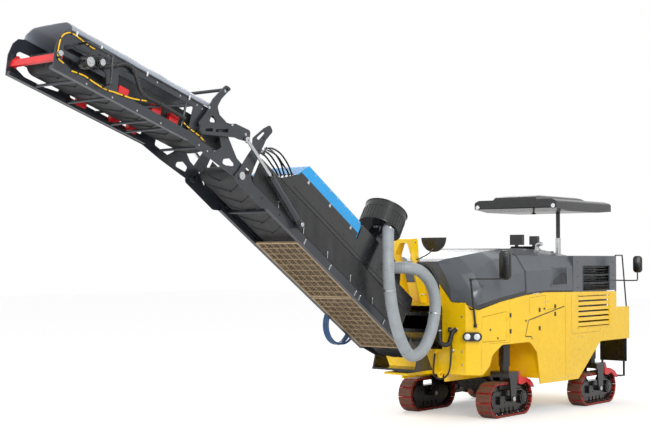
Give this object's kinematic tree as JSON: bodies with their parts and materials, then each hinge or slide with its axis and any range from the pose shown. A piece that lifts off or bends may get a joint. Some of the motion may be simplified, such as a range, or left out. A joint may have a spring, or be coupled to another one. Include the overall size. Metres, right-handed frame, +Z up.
{
  "type": "cold planer milling machine",
  "caption": "Road milling machine on tracks with a milling drum, operator's platform and roof, and a folding front loading conveyor with blue and black covers.",
  "frame": {"origin": "centre of the bounding box at ground level", "axes": "+X forward along the machine and its conveyor, +Y to the machine's left, +Z up"},
  "size_m": [12.6604, 3.14, 5.2077],
  "materials": {
    "yellow_paint": "semi-gloss",
    "black_paint": "satin",
    "slate_paint": "semi-gloss",
    "bright_steel": "brushed",
    "roof_plastic": "satin",
    "lamp_lens": "gloss",
    "black_plastic": "matte",
    "dark_slate_paint": "semi-gloss",
    "drum_steel": "matte",
    "hose_rubber": "matte",
    "belt_rubber": "matte",
    "bronze_mesh": "satin",
    "black_cloth": "matte",
    "blue_paint": "semi-gloss",
    "grey_duct": "matte",
    "blue_hose_rubber": "satin",
    "red_paint": "semi-gloss",
    "grey_tarpaulin": "matte",
    "track_pads": "matte"
  },
  "bodies": {
    "chassis": {"main_frame": "yellow_paint", "side_wall_left": "yellow_paint", "side_wall_right": "yellow_paint", "column_tubes": "black_paint", "engine_block": "black_paint", "cooler": "black_paint", "rear_box": "slate_paint", "rear_deck": "yellow_paint", "platform": "slate_paint", "console": "black_paint", "canopy_post": "bright_steel", "rails_and_steps": "black_paint", "headlights": "lamp_lens", "mirrors": "black_plastic", "front_mast": "yellow_paint", "drum_housing": "dark_slate_paint", "pickup_conveyor": "black_paint", "belt_shroud": "black_paint", "hose_bundle": "hose_rubber", "front_hose": "hose_rubber"},
    "drum": {"milling_drum": "drum_steel"},
    "leg_front_left": {"leg_front_left": "black_paint", "track_front_left": "track_pads", "guard_front_left": "red_paint"},
    "leg_front_right": {"leg_front_right": "black_paint", "track_front_right": "track_pads", "guard_front_right": "red_paint"},
    "leg_rear_left": {"leg_rear_left": "black_paint", "track_rear_left": "track_pads", "guard_rear_left": "red_paint"},
    "leg_rear_right": {"leg_rear_right": "black_paint", "track_rear_right": "track_pads", "guard_rear_right": "red_paint"},
    "door_left": {"service_door_left": "yellow_paint"},
    "door_right": {"service_door_right": "yellow_paint"},
    "hood": {"hood_front": "slate_paint", "hood_mid": "slate_paint"},
    "roof": {"canopy": "roof_plastic"},
    "edge_left": {"edge_plate_left": "dark_slate_paint"},
    "edge_right": {"edge_plate_right": "dark_slate_paint"},
    "slew": {"slew_frame": "black_paint"},
    "conveyor_lower": {"lower_frame": "dark_slate_paint", "lower_belt": "belt_rubber", "grilles": "bronze_mesh", "side_cloths": "black_cloth", "lower_cover": "black_paint", "blue_cover": "blue_paint", "fan_drum": "black_paint", "fold_pins": "bright_steel", "fold_cylinders": "dark_slate_paint", "suction_duct": "grey_duct", "blue_hose": "blue_hose_rubber", "blue_hose_coil": "blue_hose_rubber"},
    "conveyor_upper": {"upper_frame": "dark_slate_paint", "upper_belt": "belt_rubber", "red_brackets": "red_paint", "upper_tarp": "grey_tarpaulin", "belt_drive": "black_paint", "fold_links": "dark_slate_paint"}
  },
  "joints": [
    {"name": "drum_spin", "type": "hinge", "parent": "chassis", "child": "drum", "pos_m": [-3.76018, -0.44, 0.66], "axis": [0, 1, 0], "continuous": true},
    {"name": "steer_front_left", "type": "hinge", "parent": "chassis", "child": "leg_front_left", "pos_m": [-2.58718, 0.755, 0.722], "axis": [0, 0, 1], "range_deg": [-20, 20]},
    {"name": "steer_front_right", "type": "hinge", "parent": "chassis", "child": "leg_front_right", "pos_m": [-2.58718, -0.755, 0.722], "axis": [0, 0, 1], "range_deg": [-20, 20]},
    {"name": "steer_rear_left", "type": "hinge", "parent": "chassis", "child": "leg_rear_left", "pos_m": [-5.05318, 1.031, 0.722], "axis": [0, 0, 1], "range_deg": [-15, 15]},
    {"name": "steer_rear_right", "type": "hinge", "parent": "chassis", "child": "leg_rear_right", "pos_m": [-5.05318, -1.031, 0.722], "axis": [0, 0, 1], "range_deg": [-15, 15]},
    {"name": "door_left_swing", "type": "hinge", "parent": "chassis", "child": "door_left", "pos_m": [-2.22318, 1.03577, 1.7], "axis": [0, 0, 1], "range_deg": [0, 100]},
    {"name": "door_right_swing", "type": "hinge", "parent": "chassis", "child": "door_right", "pos_m": [-2.22318, -1.03577, 1.7], "axis": [0, 0, -1], "range_deg": [0, 100]},
    {"name": "hood_lift", "type": "hinge", "parent": "chassis", "child": "hood", "pos_m": [-4.21218, 0, 2.652], "axis": [0, -1, 0], "range_deg": [0, 28]},
    {"name": "roof_slide", "type": "slide", "parent": "chassis", "child": "roof", "axis": [0, 0, 1], "range_m": [-0.35, 0]},
    {"name": "edge_left_slide", "type": "slide", "parent": "chassis", "child": "edge_left", "axis": [0, 0, 1], "range_m": [-0.1, 0.28]},
    {"name": "edge_right_slide", "type": "slide", "parent": "chassis", "child": "edge_right", "axis": [0, 0, 1], "range_m": [-0.1, 0.28]},
    {"name": "conveyor_slew", "type": "hinge", "parent": "chassis", "child": "slew", "pos_m": [-0.92018, 0, 0.79], "axis": [0, 0, 1], "range_deg": [-40, 40]},
    {"name": "conveyor_lift", "type": "hinge", "parent": "slew", "child": "conveyor_lower", "pos_m": [-0.77018, 0, 1.06], "axis": [0, -1, 0], "range_deg": [-15, 5]},
    {"name": "conveyor_fold", "type": "hinge", "parent": "conveyor_lower", "child": "conveyor_upper", "pos_m": [3.30982, 0, 3.6], "axis": [0, 1, 0], "range_deg": [0, 150]}
  ],
  "couplings": [
    {"joint": "steer_front_right", "follows": "steer_front_left", "ratio": 1},
    {"joint": "steer_rear_right", "follows": "steer_rear_left", "ratio": 1}
  ]
}
